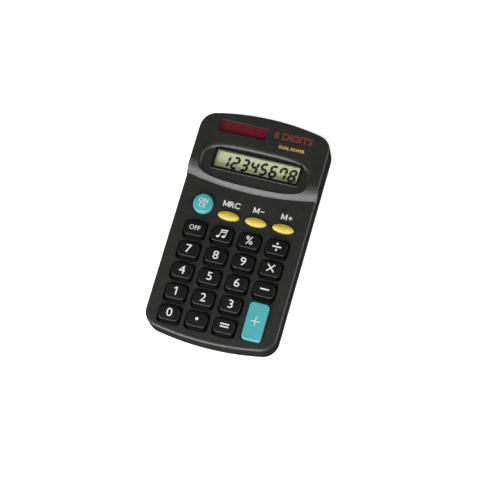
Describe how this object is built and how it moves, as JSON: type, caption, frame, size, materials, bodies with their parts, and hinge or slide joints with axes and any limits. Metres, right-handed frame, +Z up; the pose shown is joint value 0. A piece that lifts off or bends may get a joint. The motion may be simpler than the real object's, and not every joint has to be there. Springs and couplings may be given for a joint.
{
  "type": "pocket calculator",
  "caption": "Small black pocket calculator with a raised display end, teal and yellow keys, a slanted-digit display and a dark red solar window.",
  "frame": {"origin": "middle of the case's footprint, on the surface that it rests on", "axes": "+X to the user's right across the keys, +Y from the keys towards the display end, +Z up out of the key face"},
  "size_m": [0.067, 0.1184, 0.019],
  "materials": {
    "case_black": "satin, fine moulded grain",
    "key_black": "satin, white printed legends",
    "key_teal": "satin",
    "key_yellow": "satin",
    "clear_plastic": "clear, polished",
    "smoked_red": "tinted, polished",
    "solar_film": "dark film with fine cell lines",
    "lcd": "grey-green reflective display",
    "holder_white": "matte",
    "rubber_grey": "matte",
    "board": "tan laminate",
    "epoxy_black": "glossy drop",
    "brass": "plain",
    "cell_jacket": "plain printed sleeve",
    "plated_steel": "nickel plated",
    "lead_black": "wire insulation",
    "lead_red": "wire insulation"
  },
  "bodies": {
    "case": {"top_shell": "case_black", "bottom_shell": "case_black", "display_window": "clear_plastic", "lcd_glass": "lcd", "lcd_holder": "holder_white", "zebra_connector": "rubber_grey", "solar_window": "smoked_red", "solar_cell": "solar_film", "key_mat": "rubber_grey", "circuit_board": "board", "chip_cap": "epoxy_black", "reservoir_capacitor": "epoxy_black", "resistor_left": "board", "resistor_right": "board", "sounder_disc": "brass", "battery_cell": "cell_jacket", "battery_spring": "plated_steel", "battery_contact": "plated_steel", "battery_lead_negative": "lead_black", "battery_lead_positive": "lead_red", "solar_lead_negative": "lead_black", "solar_lead_positive": "lead_red", "case_screw_lower_left": "plated_steel", "board_screw_lower_left": "plated_steel", "case_screw_upper_left": "plated_steel", "board_screw_upper_left": "plated_steel", "case_screw_lower_right": "plated_steel", "board_screw_lower_right": "plated_steel", "case_screw_upper_right": "plated_steel", "board_screw_upper_right": "plated_steel"},
    "battery_door": {"battery_door": "case_black"},
    "key_off": {"key_off": "key_black"},
    "key_music": {"key_music": "key_black"},
    "key_percent": {"key_percent": "key_black"},
    "key_divide": {"key_divide": "key_black"},
    "key_7": {"key_7": "key_black"},
    "key_8": {"key_8": "key_black"},
    "key_9": {"key_9": "key_black"},
    "key_multiply": {"key_multiply": "key_black"},
    "key_4": {"key_4": "key_black"},
    "key_5": {"key_5": "key_black"},
    "key_6": {"key_6": "key_black"},
    "key_minus": {"key_minus": "key_black"},
    "key_1": {"key_1": "key_black"},
    "key_2": {"key_2": "key_black"},
    "key_3": {"key_3": "key_black"},
    "key_0": {"key_0": "key_black"},
    "key_point": {"key_point": "key_black"},
    "key_equals": {"key_equals": "key_black"},
    "key_plus": {"key_plus": "key_teal"},
    "key_on_clear": {"key_on_clear": "key_teal"},
    "key_memory_recall": {"key_memory_recall": "key_yellow"},
    "key_memory_minus": {"key_memory_minus": "key_yellow"},
    "key_memory_plus": {"key_memory_plus": "key_yellow"}
  },
  "joints": [
    {"name": "battery_door_slide", "type": "slide", "parent": "case", "child": "battery_door", "axis": [0, 1, 0], "range_m": [0, 0.022]},
    {"name": "key_off_press", "type": "slide", "parent": "case", "child": "key_off", "axis": [0, 0, -1], "range_m": [0, 0.001], "stiffness_N_per_m": 600, "springref_m": -0.0004, "deforming": ["key_mat"]},
    {"name": "key_music_press", "type": "slide", "parent": "case", "child": "key_music", "axis": [0, 0, -1], "range_m": [0, 0.001], "stiffness_N_per_m": 600, "springref_m": -0.0004, "deforming": ["key_mat"]},
    {"name": "key_percent_press", "type": "slide", "parent": "case", "child": "key_percent", "axis": [0, 0, -1], "range_m": [0, 0.001], "stiffness_N_per_m": 600, "springref_m": -0.0004, "deforming": ["key_mat"]},
    {"name": "key_divide_press", "type": "slide", "parent": "case", "child": "key_divide", "axis": [0, 0, -1], "range_m": [0, 0.001], "stiffness_N_per_m": 600, "springref_m": -0.0004, "deforming": ["key_mat"]},
    {"name": "key_7_press", "type": "slide", "parent": "case", "child": "key_7", "axis": [0, 0, -1], "range_m": [0, 0.001], "stiffness_N_per_m": 600, "springref_m": -0.0004, "deforming": ["key_mat"]},
    {"name": "key_8_press", "type": "slide", "parent": "case", "child": "key_8", "axis": [0, 0, -1], "range_m": [0, 0.001], "stiffness_N_per_m": 600, "springref_m": -0.0004, "deforming": ["key_mat"]},
    {"name": "key_9_press", "type": "slide", "parent": "case", "child": "key_9", "axis": [0, 0, -1], "range_m": [0, 0.001], "stiffness_N_per_m": 600, "springref_m": -0.0004, "deforming": ["key_mat"]},
    {"name": "key_multiply_press", "type": "slide", "parent": "case", "child": "key_multiply", "axis": [0, 0, -1], "range_m": [0, 0.001], "stiffness_N_per_m": 600, "springref_m": -0.0004, "deforming": ["key_mat"]},
    {"name": "key_4_press", "type": "slide", "parent": "case", "child": "key_4", "axis": [0, 0, -1], "range_m": [0, 0.001], "stiffness_N_per_m": 600, "springref_m": -0.0004, "deforming": ["key_mat"]},
    {"name": "key_5_press", "type": "slide", "parent": "case", "child": "key_5", "axis": [0, 0, -1], "range_m": [0, 0.001], "stiffness_N_per_m": 600, "springref_m": -0.0004, "deforming": ["key_mat"]},
    {"name": "key_6_press", "type": "slide", "parent": "case", "child": "key_6", "axis": [0, 0, -1], "range_m": [0, 0.001], "stiffness_N_per_m": 600, "springref_m": -0.0004, "deforming": ["key_mat"]},
    {"name": "key_minus_press", "type": "slide", "parent": "case", "child": "key_minus", "axis": [0, 0, -1], "range_m": [0, 0.001], "stiffness_N_per_m": 600, "springref_m": -0.0004, "deforming": ["key_mat"]},
    {"name": "key_1_press", "type": "slide", "parent": "case", "child": "key_1", "axis": [0, 0, -1], "range_m": [0, 0.001], "stiffness_N_per_m": 600, "springref_m": -0.0004, "deforming": ["key_mat"]},
    {"name": "key_2_press", "type": "slide", "parent": "case", "child": "key_2", "axis": [0, 0, -1], "range_m": [0, 0.001], "stiffness_N_per_m": 600, "springref_m": -0.0004, "deforming": ["key_mat"]},
    {"name": "key_3_press", "type": "slide", "parent": "case", "child": "key_3", "axis": [0, 0, -1], "range_m": [0, 0.001], "stiffness_N_per_m": 600, "springref_m": -0.0004, "deforming": ["key_mat"]},
    {"name": "key_0_press", "type": "slide", "parent": "case", "child": "key_0", "axis": [0, 0, -1], "range_m": [0, 0.001], "stiffness_N_per_m": 600, "springref_m": -0.0004, "deforming": ["key_mat"]},
    {"name": "key_point_press", "type": "slide", "parent": "case", "child": "key_point", "axis": [0, 0, -1], "range_m": [0, 0.001], "stiffness_N_per_m": 600, "springref_m": -0.0004, "deforming": ["key_mat"]},
    {"name": "key_equals_press", "type": "slide", "parent": "case", "child": "key_equals", "axis": [0, 0, -1], "range_m": [0, 0.001], "stiffness_N_per_m": 600, "springref_m": -0.0004, "deforming": ["key_mat"]},
    {"name": "key_plus_press", "type": "slide", "parent": "case", "child": "key_plus", "axis": [0, 0, -1], "range_m": [0, 0.001], "stiffness_N_per_m": 600, "springref_m": -0.0004, "deforming": ["key_mat"]},
    {"name": "key_on_clear_press", "type": "slide", "parent": "case", "child": "key_on_clear", "axis": [0, 0, -1], "range_m": [0, 0.001], "stiffness_N_per_m": 600, "springref_m": -0.0004, "deforming": ["key_mat"]},
    {"name": "key_memory_recall_press", "type": "slide", "parent": "case", "child": "key_memory_recall", "axis": [0, 0, -1], "range_m": [0, 0.001], "stiffness_N_per_m": 600, "springref_m": -0.0004, "deforming": ["key_mat"]},
    {"name": "key_memory_minus_press", "type": "slide", "parent": "case", "child": "key_memory_minus", "axis": [0, 0, -1], "range_m": [0, 0.001], "stiffness_N_per_m": 600, "springref_m": -0.0004, "deforming": ["key_mat"]},
    {"name": "key_memory_plus_press", "type": "slide", "parent": "case", "child": "key_memory_plus", "axis": [0, 0, -1], "range_m": [0, 0.001], "stiffness_N_per_m": 600, "springref_m": -0.0004, "deforming": ["key_mat"]}
  ]
}
